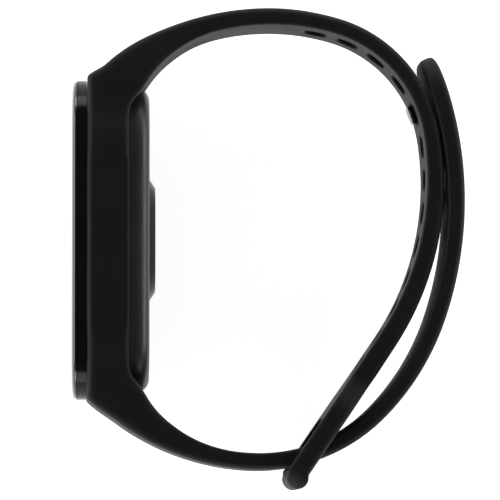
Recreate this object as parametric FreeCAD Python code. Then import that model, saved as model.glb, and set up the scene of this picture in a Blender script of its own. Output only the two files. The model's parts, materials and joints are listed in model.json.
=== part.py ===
"""Fitness tracker band: a moulded silicone strap with a removable pill-shaped tracker capsule.

The band lies on its side. +Z is the wrist axis, +Y runs along the capsule, and the display faces -X.
Everything is drawn about the strap's middle plane, then moved so that the origin is the centre of
the outline on the plane that the band rests on. Lengths are millimetres and angles are degrees.
"""

import FreeCAD, Part

import math
import os

from FreeCAD import Placement, Rotation, Vector

os.makedirs("parts", exist_ok=True)

# ------------------------------------------------------------- driving dimensions: strap
FRAME_HALF_WIDTH = 10.3         # frame and keeper share it, so the band lies flat on both
ROOT_HALF_WIDTH = 9.4           # where an arm leaves the frame
ARM_HALF_WIDTH = 8.0            # the arms
ARM_NARROWS_OVER = 12.0         # distance in which an arm narrows from its root
OUTER_ROUND = 0.9               # edges away from the skin
SKIN_ROUND = 0.35               # edges on the skin side
BODY_GAP = 0.12                 # between the tail and the lower arm, which are one moulding

# Side view. The holes arm's skin-side line turns clockwise in tangent arcs of (radius, turn).
HOLES_START = (-18.7, 23.6)
HOLES_HEADING = 60.0
HOLES_ARCS = ((17.6, 46.0), (33.1, 30.4), (18.6, 64.4), (41.5, 43.5))
HOLES_THICKNESS = ((0, 6.6), (1.7, 5.9), (3.8, 5.0), (6.1, 4.15), (8.5, 3.45), (11, 2.98),
                   (13.5, 2.72), (19, 2.55), (30, 2.4), (48, 2.35), (60, 2.6), (75, 2.8), (88, 3.0))
# The lower arm's outer line turns anticlockwise, and runs on through the keeper into the tail.
LOWER_START = (-25.6, -23.8)
LOWER_HEADING = -42.2
LOWER_ARCS = ((36.5, 39.2), (26.2, 48.7), (38.3, 25.4), (55.3, 42.1))
LOWER_THICKNESS = ((0, 7.6), (3.4, 6.2), (5.3, 5.5), (7.2, 4.9), (9.1, 4.3), (11, 3.85), (13, 3.45),
                   (15, 3.1), (17, 2.85), (19, 2.65), (22, 2.5), (60, 2.5), (75, 2.5), (105, 2.6))
LOWER_ROOT = 3.4                # the lower arm leaves the frame this far along its line
TAIL_TIP = 104.8                # end of the tail on the lower arm's line
TIP_ROUNDING = 6.5              # length of the tail's rounded tip

# Adjustment slots and the peg
SLOT_COUNT = 13
SLOT_PITCH = 5.0
FIRST_SLOT = 29.0               # distance along the holes arm
PEG_SLOT = 4                    # slots are counted from 0
SLOT_LENGTH, SLOT_WIDTH = 5.6, 3.2      # across and along the strap
PEG_STEM = (4.2, 2.2)           # across and along the strap
PEG_HEAD = (4.8, 2.8)
PEG_FLANGE = (6.4, 4.6)
PEG_HEAD_THICKNESS = 0.7
PEG_FLANGE_THICKNESS = 0.5
PEG_FLANGE_COVER = 0.9          # from the tail's skin-side face to the flange
PEG_HEAD_GAP = 0.15             # between the head and the holes arm
PEG_HEAD_ROUND = 0.25

# Keeper loop at the end of the holes arm
KEEPER_FLARE = (90.5, 97.0)     # the arm widens between these distances
WINDOW_START = 98.6             # the window runs from here to the end bar
WINDOW_HALF_WIDTH = 8.35
BAR_AT = 108.4                  # centre of the rounded end bar, along the arm
BAR_HEIGHT = 1.9                # centre of the end bar, out from the skin-side line
BAR_RADIUS = 1.6
KEEPER_CORNER = 3.2             # corners of the keeper in plan

# Hinge line of the tail, where it bends away from the holes arm
HINGE_FROM_PEG = 17.0           # along the strap, back from the peg
HINGE_DEPTH = 1.5               # in from the outer face of the holes arm at the peg
HINGE_RADIUS = 4.6              # the round end that the tail's root clears

# ------------------------------------------------------------- driving dimensions: capsule
GLASS_X = -29.5                 # front of the cover glass
CAPSULE_Y = 1.15                # middle of the capsule
FLANGE = (47.8, 18.1)           # length and width of the front flange
BODY = (45.6, 15.9)             # outline of the rear housing
OPENING = (45.8, 16.1)          # opening through the strap's frame
WALL = 1.0                      # rear housing
GLASS_THICKNESS = 0.85
FLANGE_BACK = 2.25              # depths are measured back from the front of the glass
FRAME_FRONT = 2.3
FRAME_BACK = 8.5
HOUSING_BACK = 11.6
SENSOR_BACK = 12.5
FRONT_X = GLASS_X + FRAME_FRONT
BACK_X = GLASS_X + FRAME_BACK
CREASE_HALF_LENGTH = 17.45      # straight part of the frame's back edge
# The frame's outline from the front, as distances from the middle of the capsule
PLAN_STRAIGHT = 14.0            # full width as far as here
PLAN_ROOT = 20.5                # as narrow as the arms' roots from here
PLAN_END = 40.0                 # beyond the ends of the frame


# ------------------------------------------------------------- lines and sections of the strap
def heading_vector(heading):
    return Vector(math.cos(math.radians(heading)), math.sin(math.radians(heading)), 0)


def left_of(heading):
    return heading_vector(heading + 90)


def along(start, heading, arcs, turn, distance):
    """Point and heading at a distance along tangent arcs. turn is 1 for left and -1 for right."""
    point = Vector(start[0], start[1], 0)
    for radius, angle in arcs:
        length = radius * math.radians(angle)
        step = min(distance, length)
        centre = point + left_of(heading) * (turn * radius)
        heading += turn * math.degrees(step / radius)
        point = centre - left_of(heading) * (turn * radius)
        distance -= step
    return point + heading_vector(heading) * distance, heading


def on_holes_arm(distance):
    return along(HOLES_START, HOLES_HEADING, HOLES_ARCS, -1, distance)


def on_lower_arm(distance):
    return along(LOWER_START, LOWER_HEADING, LOWER_ARCS, 1, distance)


def placed(where):
    """Local axes of a strap line: X along it, Y to its left, Z across the strap."""
    point, heading = where
    return Placement(point, Rotation(Vector(0, 0, 1), heading))


def between(table, distance):
    """Straight-line interpolation in a table of (distance, value)."""
    for (d0, v0), (d1, v1) in zip(table, table[1:]):
        if distance <= d1:
            return v0 + (v1 - v0) * (distance - d0) / (d1 - d0)
    return table[-1][1]


def ease(distance, start, end):
    """Rises smoothly from 0 at start to 1 at end."""
    t = min(1.0, max(0.0, (distance - start) / (end - start)))
    return t * t * (3 - 2 * t)


def corner(y, z, dy, dz, radius):
    """Arc that rounds a section's corner at (y, z). dy and dz point into the section."""
    centre = Vector(0, y + dy * radius, z + dz * radius)
    middle = centre - Vector(0, dy, dz) * (radius * math.sqrt(0.5))
    on_face = Vector(0, y, z + dz * radius)
    on_side = Vector(0, y + dy * radius, z)
    return on_face, middle, on_side


def section(where, low, high, low_round, high_round, half_width):
    """A rounded rectangle across the strap, from height low to height high on the local Y."""
    a = corner(low, -half_width, 1, 1, low_round)
    b = corner(high, -half_width, -1, 1, high_round)
    c = corner(high, half_width, -1, -1, high_round)
    d = corner(low, half_width, 1, -1, low_round)
    edges = [
        Part.Arc(*a).toShape(), Part.LineSegment(a[2], b[2]).toShape(),
        Part.Arc(*reversed(b)).toShape(), Part.LineSegment(b[0], c[0]).toShape(),
        Part.Arc(*c).toShape(), Part.LineSegment(c[2], d[2]).toShape(),
        Part.Arc(*reversed(d)).toShape(), Part.LineSegment(d[0], a[0]).toShape(),
    ]
    wire = Part.Wire(edges)
    wire.Placement = placed(where)
    return wire


def stations(start, end, pitch):
    count = max(2, round((end - start) / pitch))
    return [start + (end - start) * i / count for i in range(count + 1)]


def slab(where, x_range, y_range, half_width, corner_radius):
    """A block in local axes whose four upright edges, along local Y, are rounded."""
    size = Vector(x_range[1] - x_range[0], y_range[1] - y_range[0], 2 * half_width)
    block = Part.makeBox(size.x, size.y, size.z, Vector(x_range[0], y_range[0], -half_width))
    upright = [e for e in block.Edges if abs(e.tangentAt(e.FirstParameter).y) > 0.99]
    block = block.makeFillet(corner_radius, upright)
    block.Placement = placed(where)
    return block


def slot_prism(where, size, y_range):
    """A stadium across the strap, extruded along local Y. size is (across, along)."""
    across, width = size
    radius = width / 2
    reach = across / 2 - radius
    low = y_range[0]
    ends = [Vector(-radius, low, reach), Vector(radius, low, reach),
            Vector(radius, low, -reach), Vector(-radius, low, -reach)]
    edges = [Part.Arc(ends[0], Vector(0, low, reach + radius), ends[1]).toShape(),
             Part.LineSegment(ends[1], ends[2]).toShape(),
             Part.Arc(ends[2], Vector(0, low, -reach - radius), ends[3]).toShape(),
             Part.LineSegment(ends[3], ends[0]).toShape()]
    prism = Part.Face(Part.Wire(edges)).extrude(Vector(0, y_range[1] - low, 0))
    prism.Placement = placed(where)
    return prism


# ------------------------------------------------------------- strap
def slot_distance(index):
    return FIRST_SLOT + SLOT_PITCH * index


def make_holes_arm():
    """Arm from the frame to where the keeper begins, with its row of adjustment slots."""
    wires = []
    for s in stations(0, KEEPER_FLARE[0], 3.0):
        width = ROOT_HALF_WIDTH - (ROOT_HALF_WIDTH - ARM_HALF_WIDTH) * ease(s, 0, ARM_NARROWS_OVER)
        thick = between(HOLES_THICKNESS, s)
        wires.append(section(on_holes_arm(s), 0, thick, SKIN_ROUND, OUTER_ROUND, width))
    arm = Part.makeLoft(wires, True)
    for index in range(SLOT_COUNT):
        where = on_holes_arm(slot_distance(index))
        arm = arm.cut(slot_prism(where, (SLOT_LENGTH, SLOT_WIDTH), (-1.0, 5.0)))
    return arm


def make_keeper():
    """Loop at the end of the holes arm: it widens, then a window and a rounded end bar."""
    thick = between(HOLES_THICKNESS, KEEPER_FLARE[0])
    wires = []
    for s in stations(KEEPER_FLARE[0], KEEPER_FLARE[1], 1.6):
        width = ARM_HALF_WIDTH + (FRAME_HALF_WIDTH - ARM_HALF_WIDTH) * ease(s, *KEEPER_FLARE)
        wires.append(section(on_holes_arm(s), 0, thick, SKIN_ROUND, OUTER_ROUND, width))
    flare = Part.makeLoft(wires, True)
    root = on_holes_arm(KEEPER_FLARE[1])
    straight = section(root, 0, thick, SKIN_ROUND, OUTER_ROUND, FRAME_HALF_WIDTH)
    rails = Part.Face(straight).extrude(heading_vector(root[1]) * (BAR_AT - KEEPER_FLARE[1]))
    bar = Part.makeCylinder(BAR_RADIUS, 2 * FRAME_HALF_WIDTH, Vector(0, BAR_HEIGHT, -FRAME_HALF_WIDTH))
    bar.Placement = placed(on_holes_arm(BAR_AT))
    plan = slab(on_holes_arm(BAR_AT), (-25.0, BAR_RADIUS), (-2.0, 6.0), FRAME_HALF_WIDTH, KEEPER_CORNER)
    window = slab(on_holes_arm(WINDOW_START), (0, 20), (-2.0, 6.0), WINDOW_HALF_WIDTH, 1.2)
    loop = rails.cut(window).fuse(bar)
    return flare.fuse(loop).common(plan).removeSplitter()


def make_lower_band():
    """Lower arm and tail in one sweep, from the frame to the rounded tip."""
    wires = []
    for s in stations(LOWER_ROOT, TAIL_TIP - TIP_ROUNDING, 3.0):
        width = ROOT_HALF_WIDTH - (ROOT_HALF_WIDTH - ARM_HALF_WIDTH) * ease(
            s - LOWER_ROOT, 0, ARM_NARROWS_OVER)
        thick = between(LOWER_THICKNESS, s)
        wires.append(section(on_lower_arm(s), 0, thick, OUTER_ROUND, SKIN_ROUND, width))
    for share in (0.35, 0.62, 0.82, 0.94, 1.0):
        s = TAIL_TIP - TIP_ROUNDING * (1 - share)
        thick = between(LOWER_THICKNESS, s)
        drop = 1 - math.sqrt(1 - (0.97 * share) ** 2)
        thin = drop ** 3 * 0.42 * thick
        width = ARM_HALF_WIDTH - 5.2 * drop
        wires.append(section(on_lower_arm(s), thin, thick - thin,
                             OUTER_ROUND * (1 - 0.6 * drop), SKIN_ROUND, width))
    return Part.makeLoft(wires, True)


def hinge_point():
    """Where the tail bends, placed so that the peg leaves its slot straight."""
    point, heading = on_holes_arm(slot_distance(PEG_SLOT))
    out = left_of(heading)
    thick = between(HOLES_THICKNESS, slot_distance(PEG_SLOT))
    return point + out * (thick - HINGE_DEPTH) + heading_vector(heading) * HINGE_FROM_PEG


def round_end(radius):
    """Everything below the hinge line, ending in a half cylinder about it."""
    hinge = hinge_point()
    heading = on_holes_arm(slot_distance(PEG_SLOT) + HINGE_FROM_PEG)[1]
    block = Part.makeBox(120, 160, 60, Vector(0, -120, -30))
    block.Placement = Placement(hinge, Rotation(Vector(0, 0, 1), heading))
    cylinder = Part.makeCylinder(radius, 60, hinge - Vector(0, 0, 30))
    return block.fuse(cylinder)


def make_peg(tail_inner):
    """Stud moulded into the tail: flange inside the tail, stem through the slot, head inside."""
    where = on_holes_arm(slot_distance(PEG_SLOT))
    flange_low = tail_inner + PEG_FLANGE_COVER
    head = slot_prism(where, PEG_HEAD, (-PEG_HEAD_GAP - PEG_HEAD_THICKNESS, -PEG_HEAD_GAP))
    head = head.makeFillet(PEG_HEAD_ROUND, head.Edges)
    stem = slot_prism(where, PEG_STEM, (-0.4, flange_low + 0.1))
    flange = slot_prism(where, PEG_FLANGE, (flange_low, flange_low + PEG_FLANGE_THICKNESS))
    return head.fuse(stem).fuse(flange).removeSplitter()


def curve(*poles):
    bezier = Part.BezierCurve()
    bezier.setPoles(list(poles))
    return bezier.toShape()


def make_frame():
    """Ring that holds the capsule, thickening at both ends into the roots of the arms."""
    top_in, top_heading = on_holes_arm(0)
    top_out = top_in + left_of(top_heading) * between(HOLES_THICKNESS, 0)
    low_out, low_heading = on_lower_arm(LOWER_ROOT)
    low_in = low_out + left_of(low_heading) * between(LOWER_THICKNESS, LOWER_ROOT)
    flange_half = FLANGE[0] / 2
    front_top = Vector(FRONT_X, CAPSULE_Y + flange_half, 0)
    front_low = Vector(FRONT_X, CAPSULE_Y - flange_half, 0)
    back_top = Vector(BACK_X, CAPSULE_Y + CREASE_HALF_LENGTH, 0)
    back_low = Vector(BACK_X, CAPSULE_Y - CREASE_HALF_LENGTH, 0)
    bend = Vector(0, 3.4, 0)
    edges = [
        Part.LineSegment(front_low, front_top).toShape(),
        curve(front_top, front_top + Vector(0.7, 0.75, 0), top_out - heading_vector(43), top_out),
        Part.LineSegment(top_out, top_in).toShape(),
        curve(top_in, top_in - heading_vector(top_heading) * 2.2, back_top + bend, back_top),
        Part.LineSegment(back_top, back_low).toShape(),
        curve(back_low, back_low - bend, low_in - heading_vector(low_heading - 20) * 2.2, low_in),
        Part.LineSegment(low_in, low_out).toShape(),
        curve(low_out, low_out - heading_vector(low_heading), front_low + Vector(1.2, -1.3, 0), front_low),
    ]
    side = Part.Face(Part.Wire(edges))
    side.translate(Vector(0, 0, -FRAME_HALF_WIDTH))
    frame = side.extrude(Vector(0, 0, 2 * FRAME_HALF_WIDTH)).common(make_frame_plan())
    return frame.makeFillet(OUTER_ROUND, [e for e in frame.Edges if on_front_rim(e.BoundBox)])


def on_front_rim(box):
    """Whether an edge's bounding box lies at the front of one of the frame's two side faces."""
    beside_face = box.ZLength < 2 and abs(box.Center.z) > 9
    return beside_face and box.XMin < FRONT_X + 1e-3 and box.XLength < 5


def make_frame_plan():
    """The frame seen from the front: straight sides that draw in to the roots of the arms."""
    w, r = FRAME_HALF_WIDTH, ROOT_HALF_WIDTH
    a, b, end = PLAN_STRAIGHT, PLAN_ROOT, PLAN_END
    edges = []
    for y, z in ((1, 1), (1, -1), (-1, -1), (-1, 1)):
        wide = [Vector(0, y * a, z * w), Vector(0, y * (a + 3), z * w),
                Vector(0, y * (b - 3), z * r), Vector(0, y * b, z * r)]
        edges.append(curve(*wide))
        edges.append(Part.LineSegment(wide[3], Vector(0, y * end, z * r)).toShape())
    for y in (1, -1):
        edges.append(Part.LineSegment(Vector(0, y * end, r), Vector(0, y * end, -r)).toShape())
    for z in (1, -1):
        edges.append(Part.LineSegment(Vector(0, a, z * w), Vector(0, -a, z * w)).toShape())
    outline = Part.Wire(Part.__sortEdges__(edges))
    face = Part.Face(outline)
    face.translate(Vector(FRONT_X - 5, CAPSULE_Y, 0))
    return face.extrude(Vector(40, 0, 0))


# ------------------------------------------------------------- outlines of the capsule
def pill_wire(size, depth, y=CAPSULE_Y, z=0.0):
    """A stadium across the capsule at a depth behind the glass. size is (length, width)."""
    length, width = size
    r = width / 2
    h = length / 2 - r
    x = GLASS_X + depth
    a, b = Vector(x, y + h, z + r), Vector(x, y + h, z - r)
    c, d = Vector(x, y - h, z - r), Vector(x, y - h, z + r)
    edges = [Part.Arc(a, Vector(x, y + h + r, z), b).toShape(), Part.LineSegment(b, c).toShape(),
             Part.Arc(c, Vector(x, y - h - r, z), d).toShape(), Part.LineSegment(d, a).toShape()]
    return Part.Wire(edges)


def pill(size, front, back, y=CAPSULE_Y, z=0.0):
    """A prism with a stadium outline between two depths."""
    return Part.Face(pill_wire(size, front, y, z)).extrude(Vector(back - front, 0, 0))


def ring(outer, inner, front, back):
    return pill(outer, front, back).cut(pill(inner, front - 1, back + 1))


def inset(size, by):
    return size[0] - 2 * by, size[1] - 2 * by


def block(length, width, front, back, y=0.0, z=0.0, rounding=0.0):
    """A rectangular piece. y is measured from the middle of the capsule."""
    corner_point = Vector(GLASS_X + front, CAPSULE_Y + y - length / 2, z - width / 2)
    box = Part.makeBox(back - front, length, width, corner_point)
    if rounding:
        box = box.makeFillet(rounding, [e for e in box.Edges if along_depth(e)])
    return box


def along_depth(edge):
    return abs(edge.tangentAt(edge.FirstParameter).x) > 0.99


def disc(radius, front, back, y, z):
    """A round piece on the depth axis. y is measured from the middle of the capsule."""
    base = Vector(GLASS_X + front, CAPSULE_Y + y, z)
    return Part.makeCylinder(radius, back - front, base, Vector(1, 0, 0))


def edges_at_depth(shape, depth):
    """Edges that lie flat at a depth behind the glass."""
    x = GLASS_X + depth
    return [e for e in shape.Edges
            if abs(e.BoundBox.XMin - x) < 1e-4 and abs(e.BoundBox.XMax - x) < 1e-4]


# ------------------------------------------------------------- capsule: shell and display
DISPLAY = (29.0, 13.0)          # length and width of the display panel
BEZEL_OPENING = (42.3, 13.5)
CAVITY = inset(BODY, WALL)
PINS_Y = -17.0                  # charge pins, from the middle of the capsule
PIN_SPACING = 4.0
WINDOW_SEAT = (18.4, 11.0)      # outline of the sensor window where it meets the housing
WINDOW_FACE = (15.7, 8.4)
WINDOW_BORE = (15.0, 8.0)
SEAT_DEPTH = 11.0
MIDFRAME = inset(CAVITY, 0.8)
BOARD_FRONT, BOARD_BACK = 3.3, 3.9
SHIELD_BACK = 5.05
BATTERY = (24.0, 11.6)
BATTERY_Y = -2.0
BATTERY_FRONT, BATTERY_BACK = 5.2, 9.1
SENSOR_BOARD_FRONT, SENSOR_BOARD_BACK = 9.4, 9.9
FLEX_THICK, FLEX_WIDTH = 0.15, 6.0
FLEX_FRONT, FLEX_BACK = 1.3, 2.9
FLEX_BEND_RADIUS = (FLEX_BACK - FLEX_FRONT) / 2
FLEX_START, FLEX_BEND_Y, FLEX_END = -14.5, -17.2, -12.9
MOTOR_Y, MOTOR_DEPTH = 15.2, 7.2
SHAFT_RADIUS = 0.4
SHAFT_CLEARANCE = 0.05


def make_cover_glass():
    glass = pill(inset(FLANGE, 0.15), 0, GLASS_THICKNESS)
    return glass.makeFillet(0.7, edges_at_depth(glass, 0))


def make_front_bezel():
    """Glossy flange that carries the glass, with a spigot that enters the rear housing."""
    flange = ring(FLANGE, BEZEL_OPENING, GLASS_THICKNESS, FLANGE_BACK)
    spigot = ring(inset(CAVITY, 0.1), inset(CAVITY, 0.7), FLANGE_BACK, FLANGE_BACK + 0.9)
    return flange.fuse(spigot).removeSplitter()


def make_housing_seal():
    return ring(inset(BODY, 0.25), inset(CAVITY, -0.1), FLANGE_BACK, FLANGE_BACK + 0.2)


def make_rear_housing():
    """Tub that fills the strap's opening, with a rounded back and a seat for the window."""
    shell = pill(BODY, FLANGE_BACK + 0.2, HOUSING_BACK)
    shell = shell.makeFillet(2.0, edges_at_depth(shell, HOUSING_BACK))
    cavity = pill(CAVITY, FLANGE_BACK - 1, HOUSING_BACK - WALL)
    cavity = cavity.makeFillet(1.2, edges_at_depth(cavity, HOUSING_BACK - WALL))
    shell = shell.cut(cavity)
    shell = shell.cut(pill(WINDOW_SEAT, SEAT_DEPTH, SENSOR_BACK))
    shell = shell.cut(pill(WINDOW_BORE, 9, SENSOR_BACK))
    for z in (-PIN_SPACING / 2, PIN_SPACING / 2):
        shell = shell.cut(disc(1.3, 10.85, 13, PINS_Y, z)).cut(disc(0.8, 9, 13, PINS_Y, z))
    return shell


def make_sensor_window():
    """Dark lens that stands proud of the housing on a bevelled edge."""
    base = pill(WINDOW_SEAT, SEAT_DEPTH, HOUSING_BACK)
    raised = Part.makeLoft([pill_wire(WINDOW_SEAT, HOUSING_BACK), pill_wire(WINDOW_FACE, SENSOR_BACK)], True)
    return base.fuse(raised).removeSplitter()


def make_display_flex():
    """Ribbon from the end of the panel, folded back round the midframe to the board."""
    front = Part.makeBox(FLEX_THICK, FLEX_START - FLEX_BEND_Y, FLEX_WIDTH)
    back = Part.makeBox(FLEX_THICK, FLEX_END - FLEX_BEND_Y, FLEX_WIDTH)
    x, y, z = GLASS_X + FLEX_FRONT, CAPSULE_Y + FLEX_BEND_Y, -FLEX_WIDTH / 2
    front.translate(Vector(x, y, z))
    back.translate(Vector(x + 2 * FLEX_BEND_RADIUS - FLEX_THICK, y, z))
    centre = Vector(x + FLEX_BEND_RADIUS, y, z)
    bend = Part.makeCylinder(FLEX_BEND_RADIUS, FLEX_WIDTH, centre)
    bend = bend.cut(Part.makeCylinder(FLEX_BEND_RADIUS - FLEX_THICK, FLEX_WIDTH, centre))
    bend = bend.common(Part.makeBox(4, 4, FLEX_WIDTH, centre - Vector(2, 4, 0)))
    return front.fuse(bend).fuse(back).removeSplitter()


def make_midframe():
    """Tray between display and board: a plate with a rim, slotted for the display's ribbon."""
    plate = pill(MIDFRAME, 1.95, 2.6)
    rim = ring(MIDFRAME, inset(MIDFRAME, 0.8), 2.6, BOARD_FRONT)
    slot = block(1.6, FLEX_WIDTH + 0.6, 1.5, 3.2, y=FLEX_BEND_Y - 0.4)
    return plate.fuse(rim).cut(slot).removeSplitter()


# ------------------------------------------------------------- capsule: electronics
def make_rf_shield():
    can = block(13.5, 9.0, BOARD_BACK, SHIELD_BACK, y=-1.5, rounding=0.5)
    return can.cut(block(13.2, 8.7, BOARD_BACK - 1, SHIELD_BACK - 0.15, y=-1.5, rounding=0.35))


def make_antenna():
    """Thin strip round the inside of the housing's upper end."""
    strip = ring(inset(CAVITY, 0.1), inset(CAVITY, 0.3), 4.6, 8.6)
    return strip.common(block(8.0, 20.0, 4, 9, y=21.0))


def make_light_barrier():
    """Opaque frame that keeps light from the LEDs off the photodiode inside the housing."""
    outline = inset(WINDOW_BORE, 0.2)
    barrier = ring(outline, inset(outline, 0.45), SENSOR_BOARD_BACK, SEAT_DEPTH)
    for y in (-2.5, 2.5):
        barrier = barrier.fuse(block(0.5, outline[1] - 0.6, SENSOR_BOARD_BACK, SEAT_DEPTH, y=y))
    return barrier.removeSplitter()


def pair(shapes):
    """Identical loose pieces that share one node."""
    return Part.makeCompound(list(shapes))


def make_charge_pins():
    return pair(disc(1.25, 11.1, HOUSING_BACK, PINS_Y, z).fuse(disc(0.7, 9.6, 11.1, PINS_Y, z))
                for z in (-PIN_SPACING / 2, PIN_SPACING / 2))


def make_pin_seals():
    return pair(disc(1.25, 10.85, 11.1, PINS_Y, z).cut(disc(0.7, 10, 12, PINS_Y, z))
                for z in (-PIN_SPACING / 2, PIN_SPACING / 2))


# ------------------------------------------------------------- capsule: vibration motor
def spindle(radius, low, high):
    """A cylinder on the motor's axis, which runs across the band."""
    base = Vector(GLASS_X + MOTOR_DEPTH, CAPSULE_Y + MOTOR_Y, low)
    return Part.makeCylinder(radius, high - low, base)


def tube(outer, inner, low, high):
    return spindle(outer, low, high).cut(spindle(inner, low - 1, high + 1))


def make_motor_case():
    """Drum closed at one end, with a bearing plate at the other."""
    drum = tube(2.2, 1.95, -5.0, 2.4)
    plate = tube(1.95, SHAFT_RADIUS + SHAFT_CLEARANCE, 1.9, 2.4)
    end = spindle(1.95, -5.0, -4.7)
    return drum.fuse(plate).fuse(end).removeSplitter()


def make_motor_magnet():
    return tube(1.2, 0.6, -4.7, 0.9)


def make_motor_coil():
    """Cup-shaped winding on the shaft, turning in the gap between magnet and case."""
    return tube(1.7, 1.35, -4.2, 1.3).fuse(tube(1.7, SHAFT_RADIUS, 1.1, 1.5)).removeSplitter()


def make_motor_weight():
    """Half-round weight that sits off centre on the shaft."""
    hub = tube(0.8, SHAFT_RADIUS, 2.9, 5.3)
    sector = tube(1.9, SHAFT_RADIUS, 2.9, 5.3)
    corner_point = Vector(GLASS_X + MOTOR_DEPTH, CAPSULE_Y + MOTOR_Y - 3, 2)
    half = Part.makeBox(3, 6, 4, corner_point)
    return hub.fuse(sector.common(half)).removeSplitter()


def make_motor_sleeve():
    """Rubber sleeve that holds the motor against the housing."""
    return tube(2.6, 2.2, -3.6, 1.2)


# ------------------------------------------------------------- all pieces
def make_parts():
    """Every piece by its name, about the strap's middle plane."""
    opening = pill(OPENING, FRAME_FRONT - 3, SENSOR_BACK + 3)
    band = make_lower_band().cut(opening)
    peg = make_peg(tail_gap())
    parts = {
        "strap_frame": make_frame().cut(opening),
        "holes_arm": make_holes_arm().cut(opening),
        "keeper_loop": make_keeper(),
        "lower_arm": band.common(round_end(HINGE_RADIUS)),
        "strap_tail": band.cut(round_end(HINGE_RADIUS + BODY_GAP)).cut(peg),
        "peg": peg,
        "cover_glass": make_cover_glass(),
        "front_bezel": make_front_bezel(),
        "housing_seal": make_housing_seal(),
        "rear_housing": make_rear_housing(),
        "sensor_window": make_sensor_window(),
        "display_adhesive": pill(inset(BEZEL_OPENING, 0.4), GLASS_THICKNESS, 1.0),
        "display_panel": block(*DISPLAY, 1.0, 1.7, rounding=1.5),
        "display_foam": block(27.0, 11.6, 1.7, 1.95, rounding=1.0),
        "display_flex": make_display_flex(),
        "display_connector": block(2.0, 5.0, FLEX_BACK, BOARD_FRONT, y=-13.9),
        "midframe": make_midframe(),
        "main_board": pill(inset(CAVITY, 0.4), BOARD_FRONT, BOARD_BACK),
        "system_chip": block(5.0, 5.0, BOARD_BACK, 4.7, y=-4.5),
        "memory_chip": block(4.0, 5.0, BOARD_BACK, 4.6, y=2.0),
        "rf_shield": make_rf_shield(),
        "motion_sensor": block(2.5, 3.0, BOARD_BACK, 4.75, y=7.6, z=-3.0),
        "clock_crystal": block(2.0, 1.2, BOARD_BACK, 4.4, y=7.6, z=3.0),
        "antenna": make_antenna(),
        "battery_adhesive": block(12.0, 8.0, SHIELD_BACK, BATTERY_FRONT, y=-1.5),
        "battery_cell": block(*BATTERY, BATTERY_FRONT, BATTERY_BACK, y=BATTERY_Y, rounding=0.8),
        "battery_board": block(1.0, 9.0, 5.6, 8.6, y=BATTERY_Y + BATTERY[0] / 2 + 0.5),
        "sensor_pad": block(12.0, 8.0, BATTERY_BACK, SENSOR_BOARD_FRONT),
        "sensor_board": block(17.0, 10.0, SENSOR_BOARD_FRONT, SENSOR_BOARD_BACK, rounding=1.0),
        "green_leds": pair(block(1.6, 1.6, SENSOR_BOARD_BACK, 10.7, y=y) for y in (-4.6, 4.6)),
        "photodiode": block(2.8, 2.8, SENSOR_BOARD_BACK, 10.5),
        "light_barrier": make_light_barrier(),
        "charge_pins": make_charge_pins(),
        "pin_seals": make_pin_seals(),
        "charge_flex": block(10.0, 6.0, 9.45, 9.6, y=-13.55),
        "charge_magnets": pair(disc(1.4, 9.3, 10.3, -12.4, z) for z in (-4.5, 4.5)),
        "motor_case": make_motor_case(),
        "motor_sleeve": make_motor_sleeve(),
        "motor_magnet": make_motor_magnet(),
        "motor_coil": make_motor_coil(),
        "motor_shaft": spindle(SHAFT_RADIUS, -4.0, 5.3),
        "motor_weight": make_motor_weight(),
    }
    return parts


def tail_gap():
    """Height of the tail's skin-side face over the holes arm's skin-side line, at the peg."""
    where = placed(on_holes_arm(slot_distance(PEG_SLOT)))
    heights = []
    for s in stations(90, 102, 0.1):
        point, heading = on_lower_arm(s)
        face = point + left_of(heading) * between(LOWER_THICKNESS, s)
        local = where.inverse().multVec(face)
        heights.append((abs(local.x), local.y))
    return min(heights)[1]


def main():
    parts = make_parts()
    outline = Part.makeCompound(list(parts.values())).optimalBoundingBox(False, False)
    origin = Vector((outline.XMin + outline.XMax) / 2, (outline.YMin + outline.YMax) / 2, outline.ZMin)
    for name, shape in parts.items():
        shape.translate(origin.negative())
        shape.exportStep(f"parts/{name}.step")
    hinge = hinge_point() - origin
    print("origin", origin, "hinge", hinge)
    print("size", outline.XLength, outline.YLength, outline.ZLength)


main()
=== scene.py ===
import bmesh
import bpy
import json
import math
from mathutils import Matrix, Vector


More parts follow.
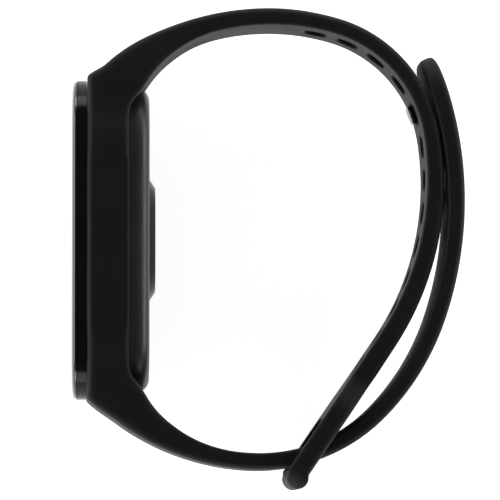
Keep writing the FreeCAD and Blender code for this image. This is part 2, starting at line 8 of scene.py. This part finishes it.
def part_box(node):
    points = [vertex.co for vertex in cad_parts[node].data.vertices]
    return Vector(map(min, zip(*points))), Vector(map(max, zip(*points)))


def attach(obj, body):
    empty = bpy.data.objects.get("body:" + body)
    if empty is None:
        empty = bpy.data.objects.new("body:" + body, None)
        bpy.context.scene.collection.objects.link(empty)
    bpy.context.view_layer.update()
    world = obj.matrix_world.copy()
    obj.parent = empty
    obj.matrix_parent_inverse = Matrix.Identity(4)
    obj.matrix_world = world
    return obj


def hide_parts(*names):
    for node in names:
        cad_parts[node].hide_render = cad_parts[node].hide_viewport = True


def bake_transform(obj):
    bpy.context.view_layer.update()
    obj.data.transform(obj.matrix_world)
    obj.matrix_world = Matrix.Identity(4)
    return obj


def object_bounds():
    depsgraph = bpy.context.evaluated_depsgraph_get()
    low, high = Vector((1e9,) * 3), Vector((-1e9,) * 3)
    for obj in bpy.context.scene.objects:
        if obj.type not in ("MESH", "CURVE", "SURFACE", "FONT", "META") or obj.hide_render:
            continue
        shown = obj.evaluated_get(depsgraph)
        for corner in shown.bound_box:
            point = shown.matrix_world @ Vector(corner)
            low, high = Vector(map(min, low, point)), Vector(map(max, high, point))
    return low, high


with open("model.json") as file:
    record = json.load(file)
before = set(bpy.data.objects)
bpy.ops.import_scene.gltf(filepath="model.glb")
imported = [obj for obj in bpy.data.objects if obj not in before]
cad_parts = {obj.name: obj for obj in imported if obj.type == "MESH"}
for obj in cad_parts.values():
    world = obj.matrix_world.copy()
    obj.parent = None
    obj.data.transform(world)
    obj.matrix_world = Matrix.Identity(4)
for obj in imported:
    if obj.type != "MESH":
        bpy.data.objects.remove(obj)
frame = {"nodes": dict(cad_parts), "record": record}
cad_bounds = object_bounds()
MM = 0.001

# ------------------------------------------------------------- sizes, in mm
WELD = 0.001                 # vertices of a CAD mesh closer than this are one
VOXEL = 0.22                 # mesh pitch of the moulded silicone
FRAME_CUT_Y = -8.0           # the moulding is two meshes that meet here, across the capsule's frame
FRAME_REACH_X = -12.0        # at that Y, only the frame has a smaller X than this
# The roots of the arms are eased more. Each pair is a distance from the middle of the frame where
# that starts and one where it is at its full strength.
ROOT_SIDE_Z = (8.0, 9.0)
ROOT_START_Y = (12.0, 14.0)
ROOT_END_Y = (31.0, 28.0)
ROOT_BRIDGE_Y = (6.2, 11.6)  # stretch of the strap that joins the lower arm to the tail
GLASS_DOME_WIDTH = 2.0       # the glass curves away over this width, all round
GLASS_DOME_DEPTH = 0.6
GLASS_CHAMFER = 0.08
GLASS_DOME_STEPS = 14
GLASS_ARC_STEPS = 48
WINDOW_CORNER = 1.2          # corner radius of the picture area
WINDOW_BLUR = 0.02           # half the width of its soft edge
DISPLAY_BORDER = 1.2         # from the panel's edge to the picture area
EMITTER_OFFSET = 4.6         # light emitters, either side of the receiver
RECEIVER_LENS = (1.7, 1.7)   # half length and half width
EMITTER_LENS = (1.0, 1.3)
LENS_CORNER = 0.6            # corner radius of an inlay, as a share of its half width
LENS_STEPS = 6
# Rings of an inlay, as (share of its size, height over the face of the window)
LENS_RINGS = ((0.82, -0.2), (1.0, -0.2), (1.0, 0.01), (0.93, 0.05), (0.6, 0.07))
FLOOR_GAP = 0.2              # under the band
FLOOR_HALF_SIZE = 3000.0

# ------------------------------------------------------------- smoothing
SMOOTH_FACTOR = 0.5
SMOOTH_PASSES = 6            # over the whole moulding
ROOT_PASSES = 60             # over the arms' roots
CAD_CREASE = 30              # edges sharper than this angle, in degrees, stay sharp
GLASS_CREASE = 50            # the cover glass and the inlays
SILICONE_CREASE = 60


# ------------------------------------------------------------- mesh tools
def copy_mesh(node):
    """A welded copy of a CAD node's mesh."""
    bm = bmesh.new()
    bm.from_mesh(frame["nodes"][node].data)
    bmesh.ops.remove_doubles(bm, verts=bm.verts, dist=WELD * MM)
    return bm


def new_object(name, bm):
    mesh = bpy.data.meshes.new(name)
    bm.to_mesh(mesh)
    bm.free()
    obj = bpy.data.objects.new(name, mesh)
    bpy.context.scene.collection.objects.link(obj)
    return obj


def bridge(nodes, low, high):
    """The hull of the nodes between two values of Y, which fills the gap where they meet."""
    bm = bmesh.new()
    for node in nodes:
        part = copy_mesh(node)
        for vert in part.verts:
            if low * MM < vert.co.y < high * MM:
                bm.verts.new(vert.co)
        part.free()
    hull = bmesh.ops.convex_hull(bm, input=bm.verts)
    bmesh.ops.delete(bm, geom=list(set(hull["geom_interior"] + hull["geom_unused"])), context="VERTS")
    return bm


def moulding(name, nodes, extra=None):
    """One skin over several CAD nodes, with its edges eased as silicone's are."""
    whole = bmesh.new()
    meshes = [copy_mesh(node) for node in nodes] + ([extra] if extra else [])
    for part in meshes:
        mesh = bpy.data.meshes.new("part")
        part.to_mesh(mesh)
        part.free()
        whole.from_mesh(mesh)
        bpy.data.meshes.remove(mesh)
    obj = new_object(name, whole)
    apply_modifier(obj, "REMESH", mode="VOXEL", voxel_size=VOXEL * MM, adaptivity=0.0)
    apply_modifier(obj, "SMOOTH", factor=SMOOTH_FACTOR, iterations=SMOOTH_PASSES)
    ease_roots(obj)
    return obj


def ramp(value, start, end):
    """Rises evenly from 0 at start to 1 at end, and stays there. start can be the larger."""
    return min(max((value - start) / (end - start), 0.0), 1.0)


def ease_roots(obj):
    """Softens the sides of the frame where they draw in to the arms."""
    low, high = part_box("strap_frame")
    middle = (low + high) / 2
    group = obj.vertex_groups.new(name="roots")
    for vert in obj.data.vertices:
        across = ramp(abs(vert.co.z - middle.z) / MM, *ROOT_SIDE_Z)
        along = abs(vert.co.y - middle.y) / MM
        reach = ramp(along, *ROOT_START_Y) * ramp(along, *ROOT_END_Y)
        weight = across * reach if vert.co.x < FRAME_REACH_X * MM else 0.0
        if weight > 0:
            group.add([vert.index], weight, "REPLACE")
    apply_modifier(obj, "SMOOTH", factor=SMOOTH_FACTOR, iterations=ROOT_PASSES, vertex_group="roots")


def apply_modifier(obj, kind, **settings):
    """Bakes one modifier into the object's mesh."""
    modifier = obj.modifiers.new(kind.lower(), kind)
    for key, value in settings.items():
        setattr(modifier, key, value)
    evaluated = obj.evaluated_get(bpy.context.evaluated_depsgraph_get())
    mesh = bpy.data.meshes.new_from_object(evaluated)
    obj.modifiers.clear()
    obj.data = mesh


def keep_side(obj, y, above):
    """Cuts the capsule's frame across at a value of Y, keeps one side and closes it there."""
    bm = bmesh.new()
    bm.from_mesh(obj.data)
    verts = [v for v in bm.verts if v.co.x < FRAME_REACH_X * MM]
    inside = set(verts)
    edges = [e for e in bm.edges if inside.issuperset(e.verts)]
    faces = [f for f in bm.faces if inside.issuperset(f.verts)]
    geometry = verts + edges + faces
    cut = bmesh.ops.bisect_plane(bm, geom=geometry, plane_co=(0, y * MM, 0), plane_no=(0, 1, 0),
                                 clear_outer=not above, clear_inner=above)
    edges = [e for e in cut["geom_cut"] if isinstance(e, bmesh.types.BMEdge)]
    bmesh.ops.holes_fill(bm, edges=edges, sides=0)
    bm.to_mesh(obj.data)
    bm.free()


def smooth_shade(obj, angle):
    for polygon in obj.data.polygons:
        polygon.use_smooth = True
    obj.data.set_sharp_from_angle(angle=math.radians(angle))


# ------------------------------------------------------------- material tools
def material(name):
    mat = bpy.data.materials.new(name)
    mat.use_nodes = True
    tree = mat.node_tree
    return mat, tree, tree.nodes["Principled BSDF"]


def noise(tree, scale, detail=4.0, roughness=0.55, stretch=None):
    coordinates = tree.nodes.new("ShaderNodeTexCoord")
    texture = tree.nodes.new("ShaderNodeTexNoise")
    texture.inputs["Scale"].default_value = scale
    texture.inputs["Detail"].default_value = detail
    texture.inputs["Roughness"].default_value = roughness
    source = coordinates.outputs["Object"]
    if stretch:
        mapping = tree.nodes.new("ShaderNodeMapping")
        mapping.inputs["Scale"].default_value = stretch
        tree.links.new(source, mapping.inputs["Vector"])
        source = mapping.outputs["Vector"]
    tree.links.new(source, texture.inputs["Vector"])
    return texture.outputs["Fac"]


def remap(tree, value, low, high, from_low=0.3, from_high=0.7):
    node = tree.nodes.new("ShaderNodeMapRange")
    node.inputs["From Min"].default_value = from_low
    node.inputs["From Max"].default_value = from_high
    node.inputs["To Min"].default_value = low
    node.inputs["To Max"].default_value = high
    tree.links.new(value, node.inputs["Value"])
    return node.outputs["Result"]


def blend_colors(tree, factor, first, second):
    node = tree.nodes.new("ShaderNodeMix")
    node.data_type = "RGBA"
    node.inputs["A"].default_value = (*first, 1)
    node.inputs["B"].default_value = (*second, 1)
    tree.links.new(factor, node.inputs["Factor"])
    return node.outputs["Result"]


def bump(tree, height, strength, distance):
    node = tree.nodes.new("ShaderNodeBump")
    node.inputs["Strength"].default_value = strength
    node.inputs["Distance"].default_value = distance
    tree.links.new(height, node.inputs["Height"])
    return node.outputs["Normal"]


def surface(name, color, second, roughness, metallic=0.0, patch=180.0, grain=4000.0, relief=0.15,
            depth=2e-5, coat=0.0, stretch=None, specular=0.5):
    """A finish with patches of colour, uneven gloss and a fine grain in its surface."""
    mat, tree, shader = material(name)
    patches = noise(tree, patch)
    fine = noise(tree, grain, detail=3.0, stretch=stretch)
    tree.links.new(blend_colors(tree, remap(tree, patches, 0, 1), color, second),
                   shader.inputs["Base Color"])
    tree.links.new(remap(tree, patches, *roughness), shader.inputs["Roughness"])
    tree.links.new(bump(tree, fine, relief, depth), shader.inputs["Normal"])
    shader.inputs["Metallic"].default_value = metallic
    shader.inputs["Coat Weight"].default_value = coat
    shader.inputs["Coat Roughness"].default_value = 0.04
    shader.inputs["Specular IOR Level"].default_value = specular
    return mat


def make_silicone():
    mat, tree, shader = material("silicone")
    patches = noise(tree, 90.0)
    dust = noise(tree, 2600.0, detail=6.0, roughness=0.7)
    skin = noise(tree, 5200.0, detail=4.0, roughness=0.65)
    specks = remap(tree, dust, 0.0, 1.0, 0.66, 0.78)
    tree.links.new(blend_colors(tree, specks, (0.0042, 0.0043, 0.0047), (0.012, 0.012, 0.0125)),
                   shader.inputs["Base Color"])
    tree.links.new(remap(tree, patches, 0.58, 0.68), shader.inputs["Roughness"])
    tree.links.new(bump(tree, skin, 0.25, 3e-5), shader.inputs["Normal"])
    shader.inputs["Sheen Weight"].default_value = 0.03
    shader.inputs["Sheen Roughness"].default_value = 0.45
    shader.inputs["Sheen Tint"].default_value = (0.8, 0.84, 0.9, 1)
    shader.inputs["Specular IOR Level"].default_value = 0.17
    return mat


def box_distance(tree, centre, half, radius):
    """Distance outside a rounded rectangle across the capsule, in metres, from the row's Y and Z."""
    coordinates = tree.nodes.new("ShaderNodeTexCoord")
    parts = tree.nodes.new("ShaderNodeSeparateXYZ")
    tree.links.new(coordinates.outputs["Object"], parts.inputs["Vector"])
    sides = []
    for axis, middle, reach in (("Y", centre[0], half[0]), ("Z", centre[1], half[1])):
        offset = math_node(tree, "SUBTRACT", parts.outputs[axis], middle)
        size = math_node(tree, "ABSOLUTE", offset)
        over = math_node(tree, "SUBTRACT", size, reach - radius)
        sides.append(math_node(tree, "MAXIMUM", over, 0.0))
    squares = [math_node(tree, "MULTIPLY", side, side) for side in sides]
    length = math_node(tree, "SQRT", math_node(tree, "ADD", *squares))
    return math_node(tree, "SUBTRACT", length, radius)


def math_node(tree, operation, *values):
    node = tree.nodes.new("ShaderNodeMath")
    node.operation = operation
    for socket, value in zip(node.inputs, values):
        if isinstance(value, (int, float)):
            socket.default_value = value
        else:
            tree.links.new(value, socket)
    return node.outputs["Value"]


def make_printed_glass():
    """Black print under the glass, with the dark display showing through its window."""
    low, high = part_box("display_panel")
    centre = ((low.y + high.y) / 2, (low.z + high.z) / 2)
    half = ((high.y - low.y) / 2 - DISPLAY_BORDER * MM, (high.z - low.z) / 2 - DISPLAY_BORDER * MM)
    mat, tree, shader = material("printed_glass")
    outside = box_distance(tree, centre, half, WINDOW_CORNER * MM)
    window = remap(tree, outside, 1.0, 0.0, -WINDOW_BLUR * MM, WINDOW_BLUR * MM)
    tree.links.new(blend_colors(tree, window, (0.0022, 0.0022, 0.0024), (0.0065, 0.007, 0.009)),
                   shader.inputs["Base Color"])
    smudges = noise(tree, 120.0, detail=5.0)
    tree.links.new(remap(tree, smudges, 0.03, 0.09), shader.inputs["Roughness"])
    shader.inputs["Coat Weight"].default_value = 0.35
    shader.inputs["Coat Roughness"].default_value = 0.03
    shader.inputs["Specular IOR Level"].default_value = 0.5
    return mat


FINISHES = {
    "peg_metal": surface("peg_metal", (0.07, 0.07, 0.075), (0.10, 0.10, 0.105), (0.18, 0.28), metallic=1.0,
                         stretch=(1, 1, 12), relief=0.12),
    "cover_glass": make_printed_glass(),
    "bezel": surface("bezel", (0.004, 0.004, 0.0045), (0.006, 0.006, 0.007), (0.10, 0.15), relief=0.03,
                     specular=0.12),
    "housing": surface("housing", (0.018, 0.0185, 0.02), (0.024, 0.0245, 0.026), (0.34, 0.44), grain=7000.0,
                       relief=0.3, depth=1.5e-5),
    "sensor_window": surface("sensor_window", (0.003, 0.003, 0.0035), (0.005, 0.005, 0.006), (0.16, 0.24),
                             relief=0.02, specular=0.15),
    "seal": surface("seal", (0.07, 0.07, 0.075), (0.09, 0.09, 0.095), (0.55, 0.7)),
    "adhesive": surface("adhesive", (0.12, 0.12, 0.13), (0.18, 0.18, 0.18), (0.4, 0.6)),
    "display": surface("display", (0.01, 0.01, 0.014), (0.02, 0.02, 0.026), (0.15, 0.25), coat=0.3),
    "foam": surface("foam", (0.04, 0.04, 0.042), (0.06, 0.06, 0.062), (0.8, 0.95), relief=0.8, depth=6e-5),
    "flex": surface("flex", (0.50, 0.22, 0.03), (0.62, 0.30, 0.05), (0.3, 0.45), patch=500.0),
    "connector": surface("connector", (0.02, 0.02, 0.021), (0.03, 0.03, 0.031), (0.45, 0.6)),
    "midframe": surface("midframe", (0.06, 0.06, 0.062), (0.08, 0.08, 0.082), (0.5, 0.65), relief=0.3),
    "board": surface("board", (0.008, 0.06, 0.03), (0.012, 0.09, 0.045), (0.25, 0.4), patch=900.0),
    "chip": surface("chip", (0.012, 0.012, 0.013), (0.02, 0.02, 0.021), (0.45, 0.6), relief=0.3),
    "shield_steel": surface("shield_steel", (0.52, 0.52, 0.53), (0.62, 0.62, 0.63), (0.25, 0.4), metallic=1.0,
                            stretch=(1, 14, 1)),
    "contact_gold": surface("contact_gold", (0.75, 0.52, 0.18), (0.86, 0.64, 0.28), (0.15, 0.3),
                            metallic=1.0),
    "battery_foil": surface("battery_foil", (0.55, 0.56, 0.58), (0.68, 0.69, 0.71), (0.3, 0.5), metallic=0.9,
                            patch=400.0, relief=0.4, depth=6e-5),
    "led": surface("led", (0.35, 0.62, 0.30), (0.5, 0.75, 0.42), (0.12, 0.25), coat=0.4),
    "photodiode": surface("photodiode", (0.02, 0.02, 0.04), (0.04, 0.03, 0.06), (0.1, 0.2), coat=0.4),
    "magnet": surface("magnet", (0.55, 0.55, 0.57), (0.65, 0.65, 0.67), (0.12, 0.25), metallic=1.0),
    "copper": surface("copper", (0.60, 0.25, 0.10), (0.72, 0.34, 0.15), (0.25, 0.4), metallic=1.0,
                      stretch=(1, 1, 20)),
    "tungsten": surface("tungsten", (0.26, 0.26, 0.27), (0.34, 0.34, 0.35), (0.35, 0.5), metallic=1.0),
}
SILICONE = make_silicone()


def paint(obj, mat):
    obj.data.materials.clear()
    obj.data.materials.append(mat)


for part in frame["record"]["subparts"]:
    node = frame["nodes"][part["node"]]
    paint(node, FINISHES.get(part["material_slot"], SILICONE))
    smooth_shade(node, CAD_CREASE)


# ------------------------------------------------------------- silicone band
upper = moulding("band_upper", ["strap_frame", "holes_arm", "keeper_loop"])
keep_side(upper, FRAME_CUT_Y, above=True)
lower = moulding("band_lower", ["strap_frame", "lower_arm", "strap_tail"],
                 extra=bridge(["lower_arm", "strap_tail"], *ROOT_BRIDGE_Y))
keep_side(lower, FRAME_CUT_Y, above=False)
for piece, nodes in ((upper, ("strap_frame", "holes_arm", "keeper_loop")),
                     (lower, ("lower_arm", "strap_tail"))):
    paint(piece, SILICONE)
    smooth_shade(piece, SILICONE_CREASE)
    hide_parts(*nodes)
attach(upper, "strap")
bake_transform(lower)


# ------------------------------------------------------------- curved cover glass
def stadium_ring(bm, x, centre, straight, radius):
    """Vertices round a stadium across the capsule, straight and radius being half sizes."""
    ring = []
    for side in (1, -1):
        for step in range(GLASS_ARC_STEPS + 1):
            angle = math.pi * step / GLASS_ARC_STEPS
            y = side * (straight + radius * math.sin(angle))
            ring.append(bm.verts.new((x, centre.y + y, centre.z + side * radius * math.cos(angle))))
    return ring


def skin_rings(bm, rings):
    """Faces between closed rings of vertices, with the first and last ring capped."""
    count = len(rings[0])
    for near, far in zip(rings, rings[1:]):
        for i in range(count):
            j = (i + 1) % count
            bm.faces.new((near[i], near[j], far[j], far[i]))
    bm.faces.new(reversed(rings[0]))
    bm.faces.new(rings[-1])
    bmesh.ops.recalc_face_normals(bm, faces=bm.faces)


def make_glass():
    """Glass whose front falls away in a quarter ellipse all round its edge."""
    low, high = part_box("cover_glass")
    centre = (low + high) / 2
    radius = (high.z - low.z) / 2
    straight = (high.y - low.y) / 2 - radius
    bm = bmesh.new()
    rings = [stadium_ring(bm, high.x, centre, straight, radius - GLASS_CHAMFER * MM),
             stadium_ring(bm, high.x - GLASS_CHAMFER * MM, centre, straight, radius)]
    for step in range(GLASS_DOME_STEPS + 1):
        angle = math.pi / 2 * step / GLASS_DOME_STEPS
        x = low.x + GLASS_DOME_DEPTH * MM * (1 - math.sin(angle))
        inset = GLASS_DOME_WIDTH * MM * (1 - math.cos(angle))
        rings.append(stadium_ring(bm, x, centre, straight, radius - inset))
    skin_rings(bm, rings)
    glass = new_object("curved_glass", bm)
    paint(glass, FINISHES["cover_glass"])
    smooth_shade(glass, GLASS_CREASE)
    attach(glass, "capsule")
    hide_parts("cover_glass")


make_glass()


# ------------------------------------------------------------- optics behind the sensor window
def lens(name, offset, half_size, mat):
    """A shallow domed inlay on the sensor window's face, at an offset along Y from its middle."""
    low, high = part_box("sensor_window")
    middle = (low + high) / 2
    half_length, half_width = half_size
    bm = bmesh.new()
    radius = half_width * LENS_CORNER
    outline = []
    for corner in range(4):
        sign_y = 1 if corner in (0, 3) else -1
        sign_z = 1 if corner in (0, 1) else -1
        for step in range(LENS_STEPS + 1):
            angle = math.radians(90 * (corner + step / LENS_STEPS))
            outline.append((sign_y * (half_length - radius) + radius * math.cos(angle),
                            sign_z * (half_width - radius) + radius * math.sin(angle)))
    rings = []
    for scale, proud in LENS_RINGS:
        rings.append([bm.verts.new((high.x + proud * MM, middle.y + (offset + y * scale) * MM,
                                    middle.z + z * scale * MM)) for y, z in outline])
    skin_rings(bm, rings)
    obj = new_object(name, bm)
    paint(obj, mat)
    smooth_shade(obj, GLASS_CREASE)
    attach(obj, "capsule")


emitter = surface("emitter_lens", (0.004, 0.016, 0.006), (0.006, 0.022, 0.009), (0.05, 0.12), relief=0.02,
                  coat=0.4)
receiver = surface("receiver_lens", (0.006, 0.004, 0.012), (0.009, 0.006, 0.016), (0.05, 0.12), relief=0.02,
                   coat=0.4)
lens("receiver_lens", 0.0, RECEIVER_LENS, receiver)
lens("emitter_lens_low", -EMITTER_OFFSET, EMITTER_LENS, emitter)
lens("emitter_lens_high", EMITTER_OFFSET, EMITTER_LENS, emitter)


# ------------------------------------------------------------- light, floor and camera, in metres
CENTRE = Vector((0.0, 0.0, 0.0103))
# Soft boxes, as name: (position, width and height, watts)
SOFT_BOXES = {
    "left": ((-0.60, 0.03, 0.15), (0.8, 0.30), 3.4),
    "right": ((0.60, 0.10, 0.13), (0.7, 0.24), 2.0),
    "top": ((0.05, 0.60, 0.13), (0.7, 0.24), 2.2),
    "bottom": ((0.0, -0.60, 0.13), (0.7, 0.24), 1.8),
}
SKY_LIGHT = 0.9
SKY_DARK = 0.14
SKY_FADE = (0.10, 0.60)      # the sky darkens between these heights of a direction
FLOOR_WHITE = (0.95, 0.95, 0.95, 1)
FLOOR_GLOW = 0.88            # the floor is luminous, for a white background
CAMERA_PLACE = Vector((-0.0310, -0.0443, 0.8103))
CAMERA_AIM = Vector((-0.0025, 0.0001, 0.0103))
CAMERA_LENS = 386.0          # in mm, as is the sensor
CAMERA_SENSOR = 36.0
CAMERA_REACH = 20.0


def area_light(name, position, size, energy):
    """A soft box that faces the middle of the band."""
    data = bpy.data.lights.new(name, "AREA")
    data.shape = "RECTANGLE"
    data.size, data.size_y = size
    data.energy = energy
    light = bpy.data.objects.new(name, data)
    bpy.context.scene.collection.objects.link(light)
    light.location = position
    light.rotation_euler = (CENTRE - Vector(position)).to_track_quat("-Z", "Y").to_euler()


def make_sky(tree):
    """White all round at the height of the object and below, and dark overhead."""
    background = tree.nodes["Background"]
    coordinates = tree.nodes.new("ShaderNodeTexCoord")
    parts = tree.nodes.new("ShaderNodeSeparateXYZ")
    tree.links.new(coordinates.outputs["Generated"], parts.inputs["Vector"])
    fade = tree.nodes.new("ShaderNodeValToRGB")
    for stop, place, level in zip(fade.color_ramp.elements, SKY_FADE, (SKY_LIGHT, SKY_DARK)):
        stop.position = place
        stop.color = (level, level, level, 1)
    tree.links.new(parts.outputs["Z"], fade.inputs["Fac"])
    tree.links.new(fade.outputs["Color"], background.inputs["Color"])
    background.inputs["Strength"].default_value = 1.0


def make_floor():
    bm = bmesh.new()
    bmesh.ops.create_grid(bm, x_segments=1, y_segments=1, size=FLOOR_HALF_SIZE * MM)
    floor = new_object("floor", bm)
    floor.location.z = cad_bounds[0][2] - FLOOR_GAP * MM
    mat, _, shader = material("floor")
    shader.inputs["Base Color"].default_value = FLOOR_WHITE
    shader.inputs["Roughness"].default_value = 0.9
    shader.inputs["Specular IOR Level"].default_value = 0.0
    shader.inputs["Emission Color"].default_value = (1, 1, 1, 1)
    shader.inputs["Emission Strength"].default_value = FLOOR_GLOW
    paint(floor, mat)


def make_camera():
    """A long lens over the band, with the row's Y axis up in the picture."""
    data = bpy.data.cameras.new("camera")
    data.lens = CAMERA_LENS
    data.sensor_width = CAMERA_SENSOR
    data.clip_end = CAMERA_REACH
    camera = bpy.data.objects.new("camera", data)
    bpy.context.scene.collection.objects.link(camera)
    forward = (CAMERA_AIM - CAMERA_PLACE).normalized()
    right = forward.cross(Vector((0, 1, 0))).normalized()
    up = right.cross(forward)
    turn = Matrix((right, up, -forward)).transposed()
    camera.matrix_world = Matrix.Translation(CAMERA_PLACE) @ turn.to_4x4()
    bpy.context.scene.camera = camera


for name, (position, size, watts) in SOFT_BOXES.items():
    area_light(name, position, size, watts)
world = bpy.data.worlds.new("studio")
bpy.context.scene.world = world
world.use_nodes = True
make_sky(world.node_tree)
make_floor()
make_camera()
bpy.context.scene.view_settings.view_transform = "Standard"
